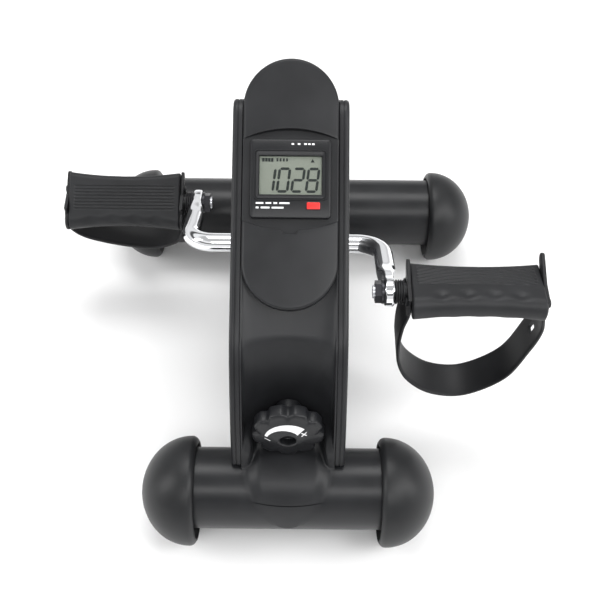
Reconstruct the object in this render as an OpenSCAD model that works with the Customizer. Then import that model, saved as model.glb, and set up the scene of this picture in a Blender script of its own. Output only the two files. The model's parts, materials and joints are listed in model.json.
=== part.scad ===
// Pedal exerciser: a floor-standing frame with two cross tubes, a slim housing,
// a bent crank with two strapped pedals, a friction wheel and a tension knob.
// Origin: on the floor under the middle of the crank. -Y is the front, +X is the user's right.

/* [Base] */
// Diameter of the two cross tubes
tube_d = 62; // [56:1:64]
// Height of the tube axes above the floor
tube_z = 46.5; // [46:0.5:48]
// Distance between the front and the rear tube axis
base_span = 300; // [296:2:304]
// Radius of the domed foot caps
cap_r = 42; // [41.6:0.1:42.4]
// Half the width between the rims of the front foot caps
front_rim_x = 70; // [66:1:74]
// Half the width between the rims of the rear foot caps
rear_rim_x = 127; // [124:1:130]

/* [Housing] */
// Width over the two side panels
housing_w = 85; // [84:0.5:86]
// Thickness of a side panel at its rim
panel_rim = 7.5; // [7:0.1:8]
// Sideways distance from the middle of the crank to the middle of the housing
crank_offset = 4.6; // [3:0.1:5]
// Angle of the console to the floor
slope = 32.9; // [32.5:0.1:33.3]
// Length of the console cover along the slope
tongue_len = 184; // [180:1:186]
// Width of the console cover
tongue_w = 70; // [68:0.5:70]

/* [Crank] */
// Diameter of the crank bar
bar_d = 15; // [14:0.5:15]
// Throw: distance from the crank axis to a pedal axis
throw = 82; // [78:1:84]
// Distance from the middle of the crank to the middle of each flattened eye
eye_x = 77.4; // [76:0.2:78]
// Radius of the friction wheel
wheel_r = 62; // [60:0.5:62]

/* [Pedals] */
// Length of a pedal block along its spindle
block_len = 96; // [92:1:96]
// Length of a pedal block along the foot
block_w = 50; // [48:1:52]
// Thickness of a pedal block
block_t = 19; // [18.5:0.5:22]
// Width of a foot strap
strap_w = 31; // [28:1:32]

/* [Knob] */
// Radius of the tension knob over its lobes
knob_r = 26.5; // [25.5:0.1:26.5]
// Number of lobes on the knob
knob_lobes = 9; // [8:1:10]
// Diameter of the tension screw
screw_d = 8; // [7:0.5:8]

/* [Hidden] */
$fn = 64;
eps = 0.01;
run = 0.05;              // radial clearance of a running fit
tube_r = tube_d / 2;
tube_wall = 2;
tube_y = base_span / 2;
cap_z = cap_r - 0.5;     // the dome is cut flat where it stands
cap_depth = 43;
cap_wall = 4.5;
socket_depth = 22;       // how far a tube reaches into its cap
half_w = housing_w / 2;
inner_w = half_w - panel_rim;
gap = 0.2;               // between moulded pieces of the housing
crank_y = 16.7;
crank_z = 145;
bar_r = bar_d / 2;
rest_dy = -0.9268;       // unit vector of the right arm at rest
rest_dz = 0.3756;
bend_r = 20;
eye_t = 8;
eye_r = 11;
spindle_r = 5;
bush_x0 = eye_x + eye_t / 2 + 0.3;
block_x0 = 93.2;
block_x1 = block_x0 + block_len;
right_tilt = -9;
left_tilt = 32;
left_strap_lean = 5;
tongue_y0 = -89;         // lower end of the console's crown line
tongue_z0 = 190;
panel_drop = 6;          // panels' top edge below the console
module_v = 94.4;         // middle of the display along the slope
knob_z = 112;
knob_face_y = -148;
knob_t = 12;
pocket_y = -117;         // back wall of the knob's pocket
nut_y = -90;             // front of the tension nut at rest
nut_len = 12;
shoe_y = -56;
spring_r = 6;

// ---- outline helpers ----
function arc(c, r, a0, a1, n = 12) =
  [for (i = [0:n]) let (a = a0 + (a1 - a0) * i / n) [c[0] + r * cos(a), c[1] + r * sin(a)]];
function bez2(a, b, c, n = 12) =
  [for (i = [0:n]) let (t = i / n) (1-t)*(1-t)*a + 2*t*(1-t)*b + t*t*c];
function unit(v) = v / norm(v);
// corner p rounded between its neighbours a and b
function fillet(a, p, b, d, n = 6) = bez2(p + unit(a - p) * d, p, p + unit(b - p) * d, n);
// Catmull-Rom curve through the points of a route
function route(p, n = 6) = concat([for (i = [0:len(p)-2], k = [0:n-1])
  let (a = p[max(i-1, 0)], b = p[i], c = p[i+1], d = p[min(i+2, len(p)-1)], t = k / n)
  0.5 * (2*b + (c-a)*t + (2*a - 5*b + 4*c - d)*t*t + (3*b - a - 3*c + d)*t*t*t)], [p[len(p)-1]]);
// closed outline of a strip of thickness t that follows a route
function strip(p, t) = let (n = len(p),
  m = [for (i = [0:n-1]) let (d = unit(p[min(i+1, n-1)] - p[max(i-1, 0)])) [-d[1], d[0]]])
  concat([for (i = [0:n-1]) p[i] + m[i] * t / 2], [for (i = [n-1:-1:0]) p[i] - m[i] * t / 2]);
// outline shrunk by d along its normals, for an outline that runs anticlockwise
function inset(p, d) = let (n = len(p)) [for (i = [0:n-1])
  let (e = unit(p[(i+1) % n] - p[(i+n-1) % n])) p[i] + d * [-e[1], e[0]]];
// tube around a curve in space, as a polyhedron
function ring(p, q, r, s) = let (d = unit(q - p), u = unit(cross(d, [0, 1, 0.01])), w = cross(d, u))
  [for (k = [0:s-1]) p + r * (cos(360*k/s) * u + sin(360*k/s) * w)];
module sweep(p, r, s = 8) {
  n = len(p);
  rings = [for (i = [0:n-1]) each (i < n-1 ? ring(p[i], p[i+1], r, s)
    : ring(p[i], p[i] + (p[i] - p[i-1]), r, s))];
  sides = [for (i = [0:n-2], k = [0:s-1])
    [i*s + k, i*s + (k+1) % s, (i+1)*s + (k+1) % s, (i+1)*s + k]];
  polyhedron(rings, concat(sides, [[for (k = [s-1:-1:0]) k], [for (k = [0:s-1]) (n-1)*s + k]]));
}

// ---- places ----
module on_housing() { translate([crank_offset, 0, 0]) children(); }
// polygon x,y becomes Y,Z and it is extruded from x0 to x1
module across(x0, x1) { translate([x0, 0, 0]) rotate([90, 0, 90]) linear_extrude(x1 - x0) children(); }
module x_rod(y, z, r, x0, x1) {
  translate([x0, y, z]) rotate([0, 90, 0]) cylinder(r = r, h = x1 - x0);
}
module y_rod(x, z, r, y0, y1) {
  translate([x, y0, z]) rotate([-90, 0, 0]) cylinder(r = r, h = y1 - y0);
}
module on_slope() { translate([0, tongue_y0, tongue_z0]) rotate([slope, 0, 0]) children(); }
module at_display() { on_housing() on_slope() translate([0, module_v, 0]) children(); }
module at_crank() { translate([0, crank_y, crank_z]) children(); }
module at_pedal(side) {
  translate([0, crank_y + side * throw * rest_dy, crank_z + side * throw * rest_dz]) children();
}

// ---- base ----
module base_tube(y, half) {
  color("#232427") on_housing() difference() {
    x_rod(y, tube_z, tube_r, -half, half);
    x_rod(y, tube_z, tube_r - tube_wall, -half - 1, half + 1);
    for (s = [-1, 1]) translate([s * (half - 8), y, 0]) cylinder(r = 2.1, h = 30);
    if (y < 0) translate([0, y, 0]) for (x = [-12, 12]) y_rod(x, tube_z, 3.1, 0, tube_r + 5);
    if (y > 0) translate([0, y, 0]) for (x = [-12, 12]) y_rod(x, tube_z, 3.1, -tube_r - 5, 0);
  }
}
module front_base_tube() { base_tube(-tube_y, front_rim_x + socket_depth); }
module rear_base_tube() { base_tube(tube_y, rear_rim_x + socket_depth); }

// dome with its mouth at x = 0 and its tip at x = cap_depth
module cap_shell() {
  rim = 5;
  outline = concat([[0, 0], [cap_r - rim, 0]], arc([cap_r - rim, rim], rim, -90, 0, 8),
    [for (i = [1:16]) let (a = 90 * i / 16) [cap_r * cos(a), rim + (cap_depth - rim) * sin(a)]]);
  rotate([0, 90, 0]) rotate_extrude($fn = 96) polygon(outline);
}
module foot_cap(side, y, rim_x) {
  z_shift = tube_z - cap_z;
  color("#202124") on_housing() difference() {
    translate([side * rim_x, y, cap_z]) rotate([0, 0, side > 0 ? 0 : 180]) cap_shell();
    x_rod(y, cap_z, cap_r - cap_wall, min(side * (rim_x - 1), side * (rim_x + 5)),
      max(side * (rim_x - 1), side * (rim_x + 5)));
    x_rod(y, cap_z + z_shift, tube_r + run, min(side * rim_x, side * (rim_x + socket_depth + 0.3)),
      max(side * rim_x, side * (rim_x + socket_depth + 0.3)));
    translate([0, 0, -10]) cube([600, 600, 20], center = true);
    translate([side * (rim_x + socket_depth - 8), y, 0]) cylinder(r = 2.1, h = 20);
    translate([side * (rim_x + socket_depth - 8), y, 0]) cylinder(r = 4.6, h = 6);
  }
}
module front_left_foot_cap() { foot_cap(-1, -tube_y, front_rim_x); }
module front_right_foot_cap() { foot_cap(1, -tube_y, front_rim_x); }
module rear_left_foot_cap() { foot_cap(-1, tube_y, rear_rim_x); }
module rear_right_foot_cap() { foot_cap(1, tube_y, rear_rim_x); }
module foot_cap_screws() {
  color("#8d9094") on_housing() for (f = [[-tube_y, front_rim_x], [tube_y, rear_rim_x]], s = [-1, 1])
    translate([s * (f[1] + socket_depth - 8), f[0], 0]) {
      translate([0, 0, 5]) cylinder(r = 2, h = 15.5);
      translate([0, 0, 2.8]) cylinder(r = 4, h = 3.2);
    }
}

// ---- frame ----
beam_half = 20;
beam_z0 = 36;
beam_z1 = 58;
module main_frame() {
  color("#3a3c40") on_housing() difference() {
    union() {
      translate([-beam_half, -tube_y, beam_z0]) cube([2 * beam_half, base_span, beam_z1 - beam_z0]);
      for (s = [-1, 1]) translate([-beam_half, s > 0 ? tube_y - tube_r - 8 : -tube_y + tube_r, beam_z0])
        cube([2 * beam_half, 8, 30]);
    }
    translate([-beam_half + 2.5, -tube_y, beam_z0 + 2.5])
      cube([2 * beam_half - 5, base_span, beam_z1 - beam_z0 - 5]);
    for (y = [-tube_y, tube_y]) x_rod(y, tube_z, tube_r, -60, 60);
  }
}
module saddle_bolts() {
  head_y = tube_y - tube_r - 6;
  color("#8d9094") on_housing() for (x = [-12, 12]) {
    y_rod(x, tube_z, 3, -tube_y + tube_r - 5, -head_y);
    y_rod(x, tube_z, 5.5, -head_y, -head_y + 4, $fn = 24);
    y_rod(x, tube_z, 3, head_y, tube_y - tube_r + 5);
    y_rod(x, tube_z, 5.5, head_y - 4, head_y, $fn = 24);
  }
}
plate_x = beam_half + 0.05;
plate_t = 3;
bearing_r = 13;
module bearing_plate(side) {
  x0 = side > 0 ? plate_x : -plate_x - plate_t;
  edge = concat([[-50, beam_z0], [85, beam_z0]],
    arc([crank_y, crank_z], 24, 15, 165, 16));
  color("#3a3c40") on_housing() difference() {
    across(x0, x0 + plate_t) polygon(edge);
    x_rod(crank_y, crank_z, bearing_r, x0 - 1, x0 + plate_t + 1);
    for (y = [-30, 60]) x_rod(y, 75, 9, x0 - 1, x0 + plate_t + 1);
  }
}
module left_bearing_plate() { bearing_plate(-1); }
module right_bearing_plate() { bearing_plate(1); }
module crank_bearing(side) {
  a = side > 0 ? plate_x - 4 : -plate_x - plate_t - 5;
  b = side > 0 ? plate_x + plate_t + 5 : -plate_x + 4;
  f = side > 0 ? plate_x + plate_t : -plate_x - plate_t - 2;
  color("#d8d4c8") on_housing() difference() {
    union() {
      x_rod(crank_y, crank_z, bearing_r, a, b);
      x_rod(crank_y, crank_z, bearing_r + 3, f, f + 2);
    }
    x_rod(crank_y, crank_z, bar_r + run, a - 1, b + 1);
  }
}
module left_crank_bearing() { crank_bearing(-1); }
module right_crank_bearing() { crank_bearing(1); }
magnet_place = [-23, -19.5];     // from the crank axis to the speed magnet, at rest
module speed_sensor() {
  color("#1c3b2a") on_housing() translate([-plate_x + 0.1, crank_y + magnet_place[0] - 7,
    crank_z + magnet_place[1] - 5]) cube([4, 14, 10]);
}

// ---- housing ----
function slope_point(y) = [y, tongue_z0 + (y - tongue_y0) * tan(slope) - panel_drop / cos(slope)];
front_foot = [-tube_y - 1, tube_z + tube_r + 0.1];
rear_foot = [tube_y, tube_z + tube_r + 0.5];
front_corner = slope_point(-100);
rear_corner = slope_point(46);
front_edge = bez2(front_foot, [-130.5, 151.2], front_corner, 20);
back_edge = bez2(rear_corner, [112, 200], rear_foot, 20);
// side view of the housing, anticlockwise as seen from +X
function panel_outline() = let (f = front_edge, b = back_edge, nf = len(f), nb = len(b)) concat(
  [[-124, 31], [124, 31], [tube_y, 56]],
  [for (i = [nb-1:-1:4]) b[i]], fillet(b[4], rear_corner, front_corner, 15),
  fillet(rear_corner, front_corner, f[nf-3], 7), [for (i = [nf-3:-1:0]) f[i]], [[-tube_y, 56]]);
module tube_clearance() {
  for (y = [-tube_y, tube_y]) x_rod(y, tube_z, tube_r + 0.3, -100, 100, $fn = 256);
}
crank_hole_r = 10.5;
screw_places = [[-118, 110], [-80, 165], [40, 240], [100, 150], [96, 60], [-92, 60]];
module side_panel(side) {
  p = panel_outline();
  skin = 2.5;
  color("#232427") on_housing() difference() {
    mirror([side > 0 ? 0 : 1, 0, 0]) union() {
      difference() {
        across(inner_w, half_w - 2) polygon(p);
        across(inner_w - 1, half_w - skin) polygon(inset(p, 3));
      }
      across(half_w - 2 - eps, half_w) polygon(inset(p, 1.2));
      difference() {
        for (q = screw_places) x_rod(q[0], q[1], 5, inner_w, half_w - 1);
        for (q = screw_places) x_rod(q[0], q[1], 2.1, inner_w - 1, half_w + 1);
      }
    }
    tube_clearance();
    x_rod(crank_y, crank_z, crank_hole_r, -half_w - 5, half_w + 5);
    for (q = screw_places) x_rod(q[0], q[1], 2.1, -half_w - 5, half_w + 5);
    for (q = screw_places, s = [-1, 1])
      x_rod(q[0], q[1], 3.8, s > 0 ? half_w - 2 : -half_w - 1, s > 0 ? half_w + 1 : -half_w + 2);
  }
}
module left_side_panel() { side_panel(-1); }
module right_side_panel() { side_panel(1); }
module panel_screws() {
  color("#55585c") on_housing() for (q = screw_places, s = [-1, 1]) {
    x_rod(q[0], q[1], 1.9, s > 0 ? inner_w - 8 : -half_w + 1.9, s > 0 ? half_w - 1.9 : -inner_w + 8);
    x_rod(q[0], q[1], 3.5, s > 0 ? half_w - 1.9 : -half_w + 0.4, s > 0 ? half_w - 0.4 : -half_w + 1.9);
  }
}

crown_r = 160;
crown_drop = crown_r - sqrt(crown_r * crown_r - tongue_w * tongue_w / 4);
pocket_w = -crown_drop - 0.5;    // floor of the display's recess
module_w = 58;
module_len = 57.5;
module stadium(w, l) {
  translate([0, w / 2]) circle(d = w, $fn = 96);
  translate([0, l - w / 2]) circle(d = w, $fn = 96);
  translate([-w / 2, w / 2]) square([w, l - w]);
}
module console_cover() {
  thick = 12;
  half_l = module_len / 2 + 0.6;
  bow = [for (i = [-12:12]) let (x = 36 * i / 12) [x, half_l + 7.5 * (1 - x * x / 1296)]];
  recess = concat(bow, [for (i = [12:-1:-12]) let (x = 36 * i / 12)
    [x, -half_l - 8 * (1 - x * x / 1296)]]);
  color("#232427") on_housing() on_slope() difference() {
    intersection() {
      translate([0, 0, -thick]) linear_extrude(thick) stadium(tongue_w - 0.4, tongue_len);
      translate([0, -5, -crown_r]) rotate([-90, 0, 0]) cylinder(r = crown_r, h = 200, $fn = 256);
    }
    translate([0, 3, -thick - 1]) linear_extrude(thick - 6) stadium(tongue_w - 6.4, tongue_len - 6);
    translate([0, module_v, pocket_w]) linear_extrude(10) polygon(recess);
    translate([-module_w / 2 - gap, module_v - module_len / 2 - gap, -thick - 1])
      cube([module_w + 2 * gap, module_len + 2 * gap, thick + 5]);
    translate([-5, module_v - module_len / 2 - 6, pocket_w - 1.5]) cube([10, 8, 5]);
  }
}

// room for the console cover in the pieces below it
module tongue_space() {
  on_slope() translate([0, -gap, -12 - gap]) linear_extrude(30) stadium(tongue_w, tongue_len + 2 * gap);
}

// front cover: a concave scoop, the floor of the knob's pocket and the chin over the tube
module slab(y, z, w, d) {
  translate([0, y, z]) linear_extrude(0.05) scale([w, d]) circle(1, $fn = 32);
}
scoop_top = [-101, 190];
scoop_mid = [-139, knob_z + 4];
scoop_low = [-145, 70];
pocket_depth = 22;
module scoop(grow) {
  hull() {
    slab(scoop_top[0], scoop_top[1], inner_w - 2 + grow, 17 + grow);
    slab(scoop_mid[0], scoop_mid[1], inner_w - 2 + grow, pocket_depth + grow);
  }
  hull() {
    slab(scoop_mid[0], scoop_mid[1], inner_w - 2 + grow, pocket_depth + grow);
    slab(scoop_low[0], scoop_low[1], inner_w - 2 + grow, pocket_depth + 6 + grow);
  }
}
pocket_floor = 82;
chin_half_w = 34.8;
ridge_half_w = 25;
// side view of the chin: its ridge, and the lower shoulders beside the ridge
ridge_edge = bez2([-143, 84.4], [-178, 83], [-tube_y - tube_r - 1.8, 44], 14);
shoulder_edge = concat([[-143, 83.8]], arc([-tube_y, tube_z], tube_r + 1.6, 100, 184, 12));
seam_z = 65;
function seam(x) = seam_z + 3 * min(1, x * x / 400);
module chin_layer(edge, half) {
  intersection() {
    across(-36, 36) polygon(concat([[-125, pocket_floor]], edge, [[-tube_y, 40]]));
    translate([0, -100, 0]) rotate([90, 0, 0]) linear_extrude(100)
      polygon([[-half, 79], [-7, 41.5], [7, 41.5], [half, 79], [half, 100], [-half, 100]]);
  }
}
module chin() {
  chin_layer(shoulder_edge, chin_half_w);
  chin_layer(ridge_edge, ridge_half_w);
}
module below_seam(shift) {
  translate([0, -100, 0]) rotate([90, 0, 0]) linear_extrude(100) polygon(concat(
    [for (i = [-10:10]) let (x = 4 * i) [x, seam(x) + shift]], [[40, 20], [-40, 20]]));
}
// fills the corners between the panels and the console's round lower end
module collar() {
  on_slope() translate([-inner_w + gap, -14, -panel_drop - 3.2]) cube([2 * (inner_w - gap), 52, 3]);
}
module front_cover() {
  y_inner = -60;
  profile = concat([[y_inner, pocket_floor], [-142, pocket_floor]],
    [for (p = front_edge) if (p[1] > pocket_floor) p + [0.8, 0]], [[y_inner, slope_point(y_inner)[1]]]);
  color("#202124") on_housing() difference() {
    union() {
      intersection() {
        difference() {
          union() {
            scoop(2.8);
            collar();
          }
          scoop(0);
        }
        across(-inner_w + gap, inner_w - gap) polygon(profile);
      }
      difference() {
        chin();
        below_seam(0.3);
      }
      across(-inner_w + gap, inner_w - gap) polygon([[-112, pocket_floor - 3],
        [-112, pocket_floor + 1.5], [-144, pocket_floor + 1.5], [-146, pocket_floor - 3]]);
    }
    tube_clearance();
    y_rod(0, knob_z, 10.5, -130, -95);
    tongue_space();
  }
}
module nose_tip() {
  color("#26272a") on_housing() difference() {
    intersection() {
      chin();
      below_seam(-0.1);
    }
    tube_clearance();
  }
}
module rear_cover() {
  outer = [for (p = back_edge) p + [-1, -1]];
  inner = [for (i = [len(outer)-1:-1:0]) outer[i] + [-3, -2]];
  color("#202124") on_housing() difference() {
    across(-inner_w + gap, inner_w - gap) polygon(concat(outer, inner));
    tube_clearance();
    tongue_space();
  }
}
module bottom_cover() {
  color("#202124") on_housing() difference() {
    translate([-inner_w + gap, -117, 32]) cube([2 * (inner_w - gap), 234, 2.5]);
    for (y = [-90 : 20 : 90]) translate([-18, y - 3, 30]) cube([36, 6, 10]);
  }
}

// ---- brake ----
rail_x = 11;
rail_t = 2.5;
module tension_bracket() {
  color("#6f7276") on_housing() difference() {
    union() {
      translate([-rail_x - rail_t, -108, beam_z1]) cube([2 * (rail_x + rail_t), 60, 3]);
      for (s = [-1, 1]) translate([s > 0 ? rail_x : -rail_x - rail_t, -108, beam_z1])
        cube([rail_t, 60, 66]);
      translate([-rail_x - rail_t, -108, beam_z1]) cube([2 * (rail_x + rail_t), 3, 66]);
    }
    y_rod(0, knob_z, screw_d / 2 + run, -110, -100);
  }
}
module shoe_zone() { translate([-10.6, shoe_y, knob_z - 13]) cube([21.2, 30, 26]); }
module brake_shoe() {
  color("#2b2c30") on_housing() difference() {
    shoe_zone();
    x_rod(crank_y, crank_z, wheel_r + 4, -20, 20);
    y_rod(0, knob_z, spring_r + 1.4, shoe_y - 1, shoe_y + 2);
  }
}
module brake_pad() {
  color("#8c8577") on_housing() difference() {
    intersection() {
      shoe_zone();
      x_rod(crank_y, crank_z, wheel_r + 4, -9.5, 9.5);
    }
    x_rod(crank_y, crank_z, wheel_r + 0.4, -20, 20);
  }
}
module friction_wheel() {
  color("#55585c") on_housing() at_crank() difference() {
    union() {
      x_rod(0, 0, wheel_r, -10, 10);
      x_rod(0, 0, 16, -14, 14);
    }
    for (s = [-1, 1]) difference() {
      x_rod(0, 0, wheel_r - 9, s > 0 ? 3 : -11, s > 0 ? 11 : -3);
      x_rod(0, 0, 16, -15, 15);
    }
    x_rod(0, 0, bar_r, -20, 20);
  }
}
module wheel_magnet() {
  color("#b9bcc0") on_housing() at_crank() x_rod(magnet_place[0], magnet_place[1], 4, -8, -3);
}

// ---- crank ----
// one end of the bar, along +X: bend, arm and flattened eye
module bar_end() {
  translate([eye_x - bend_r, bend_r, 0]) rotate([0, 0, -90])
    rotate_extrude(angle = 90) translate([bend_r, 0]) circle(r = bar_r);
  difference() {
    union() {
      translate([eye_x, bend_r, 0]) rotate([-90, 0, 0]) cylinder(r = bar_r, h = throw - bend_r);
      x_rod(throw, 0, eye_r, eye_x - bar_r + 1, eye_x + bar_r - 1);
    }
    for (x = [eye_x + eye_t / 2, eye_x - eye_t / 2 - 20])
      translate([x, throw - 17, -20]) cube([20, 40, 40]);
    x_rod(throw, 0, spindle_r, eye_x - eye_t, eye_x + eye_t);
  }
}
module crank_bar() {
  straight = eye_x - bend_r;
  color("#c9ccd0") at_crank() rotate([atan2(rest_dz, rest_dy), 0, 0]) {
    x_rod(0, 0, bar_r, -straight, straight);
    bar_end();
    rotate([180, 0, 0]) mirror([1, 0, 0]) bar_end();
  }
}
module crank_spacers() {
  color("#8d9094") on_housing() at_crank() for (s = [-1, 1]) mirror([s > 0 ? 0 : 1, 0, 0]) difference() {
    x_rod(0, 0, 12, 14.1, 15.9);
    x_rod(0, 0, bar_r, 14, 16);
  }
}
module spindle(side) {
  head_x = block_x1 - 6;
  color("#8d9094") at_pedal(side) mirror([side > 0 ? 0 : 1, 0, 0]) union() {
    x_rod(0, 0, spindle_r, eye_x - eye_t / 2 - 8, head_x);
    x_rod(0, 0, 6.1, head_x - eps, head_x + 5);
  }
}
module left_spindle() { spindle(-1); }
module right_spindle() { spindle(1); }
module spindle_nuts() {
  color("#2a2b2e") for (s = [-1, 1]) at_pedal(s) difference() {
    x1 = eye_x - eye_t / 2;
    mirror([s > 0 ? 0 : 1, 0, 0]) union() {
      translate([x1 - 6.5, 0, 0]) rotate([0, 90, 0]) cylinder(r = 8.5, h = 5, $fn = 6);
      x_rod(0, 0, 9, x1 - 1.5, x1);
    }
    x_rod(0, 0, spindle_r, -100, 100);
  }
}

// ---- pedals ----
peg_y = 11;
module pedal_block() {
  waist = 3.5;
  mid = (block_x0 + block_x1) / 2;
  half = block_w / 2;
  side = [for (i = [-12:12]) let (t = i / 12) [mid + t * block_len / 2, half - waist * (1 - t * t)]];
  plan = concat([for (i = [0:24]) [side[i][0], -side[i][1]]], [for (i = [24:-1:0]) side[i]]);
  r = 5;
  nose = 9;              // the front edge, under the toes, is rounder
  section = concat(arc([half - r, block_t / 2 - r], r, 0, 90, 6),
    arc([-half + nose, block_t / 2 - nose], nose, 90, 180, 10),
    arc([-half + nose, -block_t / 2 + nose], nose, 180, 270, 10),
    arc([half - r, -block_t / 2 + r], r, 270, 360, 6));
  difference() {
    union() {
      intersection() {
        translate([0, 0, -30]) linear_extrude(60) polygon(plan);
        across(0, 300) polygon(section);
      }
      for (y = [-peg_y, peg_y]) {
        x_rod(y, 0, 2.3, block_x0 - 3.4, block_x1 + 3.4);
        x_rod(y, 0, 3.4, block_x0 - 4.6, block_x0 - 3.3);
        x_rod(y, 0, 3.4, block_x1 + 3.3, block_x1 + 4.6);
      }
    }
    x_rod(0, 0, spindle_r + run, 0, 300);
    x_rod(0, 0, 6.5, block_x1 - 6.5, 300);
    x_rod(0, 0, 6.8, 0, block_x0 + 10);
  }
}
module pedal_bush() {
  difference() {
    union() {
      x_rod(0, 0, 6.6, bush_x0, block_x0 + 9.9);
      for (i = [0:3]) x_rod(0, 0, 9, bush_x0 + 0.2 + 1.75 * i, bush_x0 + 1.3 + 1.75 * i);
    }
    x_rod(0, 0, spindle_r + run, 0, 300);
  }
}
module right_pose() { at_pedal(1) rotate([right_tilt, 0, 0]) children(); }
module left_pose() { at_pedal(-1) rotate([left_tilt, 0, 0]) rotate([0, 180, 0]) children(); }
module right_pedal_block() { color("#26272a") right_pose() pedal_block(); }
module left_pedal_block() { color("#26272a") left_pose() pedal_block(); }
module right_pedal_bush() { color("#18191b") right_pose() pedal_bush(); }
module left_pedal_bush() { color("#18191b") left_pose() pedal_bush(); }

strap_t = 2.6;
strap_in = block_x0 - 0.3 - strap_t / 2;
strap_out = block_x1 + 0.3 + strap_t / 2;
right_route = [[strap_in, 8], [strap_in, 0], [strap_in, -11], [strap_in - 3, -26],
  [strap_in - 4.2, -48], [strap_in - 2, -70], [strap_in + 7, -91], [strap_in + 27, -108],
  [strap_in + 54, -109.5], [strap_out - 17, -87], [strap_out - 4, -52], [strap_out + 1.5, -28],
  [strap_out, -11], [strap_out, 0], [strap_out, 8]];
left_route = [[strap_in, 8], [strap_in, 0], [strap_in, -11], [strap_in + 1, -22],
  [strap_in + 8, -38], [strap_in + 28, -46], [strap_in + 56, -43], [strap_out - 12, -32],
  [strap_out + 0.5, -18], [strap_out, -8], [strap_out, 0], [strap_out, 8]];
// flat tab at one end of the band, from one tip to the other and turned up by rise
module strap_tab(x, from, to, rise) {
  across(x - strap_t / 2, x + strap_t / 2) rotate(rise)
    polygon(concat(arc([to - 5, 0], 5, -75, 75), arc([from + 9, 0], 9, 100, 260)));
}
// the band hangs at an angle of its own; its holes follow the pegs of the block
module foot_strap(points, lean, tilt, tabs) {
  difference() {
    union() {
      rotate([lean + 90, 0, 0]) translate([0, 0, -strap_w / 2]) linear_extrude(strap_w)
        polygon(strip(route(points), strap_t));
      strap_tab(strap_in, tabs[0], tabs[1], tabs[3]);
      strap_tab(strap_out, tabs[0], tabs[2], tabs[3]);
    }
    rotate([tilt, 0, 0]) for (y = [-peg_y, peg_y]) x_rod(y, 0, 2.6, 0, 300);
    x_rod(0, 0, 6.9, 0, block_x0 + 10);
    rotate([lean, 0, 0]) translate([170, -3.5, -47]) cube([30, 7, 12]);
  }
}
module right_foot_strap() {
  color("#1d1e20") at_pedal(1) foot_strap(right_route, 0, right_tilt, [-18, 25, 31, 25]);
}
module left_foot_strap() {
  color("#1d1e20") at_pedal(-1) mirror([1, 0, 0])
    foot_strap(left_route, left_strap_lean, left_tilt, [-25, 27, 27, left_tilt]);
}

// ---- tension knob ----
knob_rim_y = knob_face_y + 4;    // the face rises from here to a boss in the middle
knob_back_y = knob_face_y + 15;
boss_r = 9;
module tension_knob() {
  lobe_r = 7;
  color("#202124") on_housing() difference() {
    union() {
      y_rod(0, knob_z, knob_r - 3.2, knob_rim_y, knob_back_y);
      for (i = [0:knob_lobes-1]) let (a = 90 + 360 * (i + 0.5) / knob_lobes)
        y_rod((knob_r - lobe_r) * cos(a), knob_z + (knob_r - lobe_r) * sin(a), lobe_r,
          knob_rim_y, knob_back_y);
      translate([0, knob_rim_y + eps, knob_z]) rotate([90, 0, 0])
        cylinder(r1 = knob_r - 3.5, r2 = boss_r, h = knob_rim_y - knob_face_y, $fn = 96);
      y_rod(0, knob_z, 9.5, knob_back_y - eps, pocket_y - 1);
    }
    y_rod(0, knob_z, 6, knob_face_y - 1, knob_face_y + 11);
    y_rod(0, knob_z, screw_d / 2, knob_face_y, pocket_y + 1);
  }
}
// tapered arc with plus and minus signs, sunk into the cone of the face
module knob_marks() {
  arc_from = 170;
  arc_to = 46;
  band = concat([for (i = [0:20]) let (a = arc_from + (arc_to - arc_from) * i / 20) 17.2 * [cos(a), sin(a)]],
    [for (i = [20:-1:0]) let (a = arc_from + (arc_to - arc_from) * i / 20)
      (15.2 - 5.2 * i / 20) * [cos(a), sin(a)]]);
  color("#e8e8e8") on_housing() intersection() {
    translate([0, knob_rim_y + 1, knob_z]) rotate([90, 0, 0]) linear_extrude(8) {
      polygon(band);
      rotate(31) translate([13.6, 0]) for (a = [16, 106]) rotate(a) square([5.2, 0.9], center = true);
      rotate(183) translate([15, 0]) rotate(-29) square([4.6, 0.6], center = true);
    }
    translate([0, knob_rim_y, knob_z]) rotate([90, 0, 0]) difference() {
      translate([0, 0, 0.06]) cylinder(r1 = knob_r - 3.5, r2 = boss_r, h = knob_rim_y - knob_face_y, $fn = 96);
      cylinder(r1 = knob_r - 3.5, r2 = boss_r, h = knob_rim_y - knob_face_y, $fn = 96);
    }
  }
}
module tension_screw() {
  color("#9a9da1") on_housing() union() {
    y_rod(0, knob_z, screw_d / 2, knob_face_y + 11.5, -64);
    y_rod(0, knob_z, 5.8, knob_face_y + 7.5, knob_face_y + 11);
    y_rod(0, knob_z, screw_d / 2, knob_face_y + 10, knob_face_y + 12);
  }
}
module screw_retainer() {
  color("#8d9094") on_housing() difference() {
    y_rod(0, knob_z, 7, -104.8, -102.8);
    y_rod(0, knob_z, screw_d / 2, -110, -100);
  }
}
module tension_nut() {
  color("#b59a4a") on_housing() difference() {
    translate([-rail_x + 0.3, nut_y, knob_z - 8]) cube([2 * rail_x - 0.6, nut_len, 16]);
    y_rod(0, knob_z, screw_d / 2 + run, nut_y - 1, nut_y + nut_len + 1);
  }
}
module tension_spring() {
  y0 = nut_y + nut_len + 0.7;
  y1 = shoe_y + 1.1;
  turns = 6;
  steps = 16;
  color("#8d9094") on_housing() sweep([for (i = [0:turns*steps]) let (a = 360 * i / steps)
    [spring_r * cos(a), y0 + (y1 - y0) * i / (turns * steps), knob_z + spring_r * sin(a)]], 0.6, 6);
}

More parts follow.
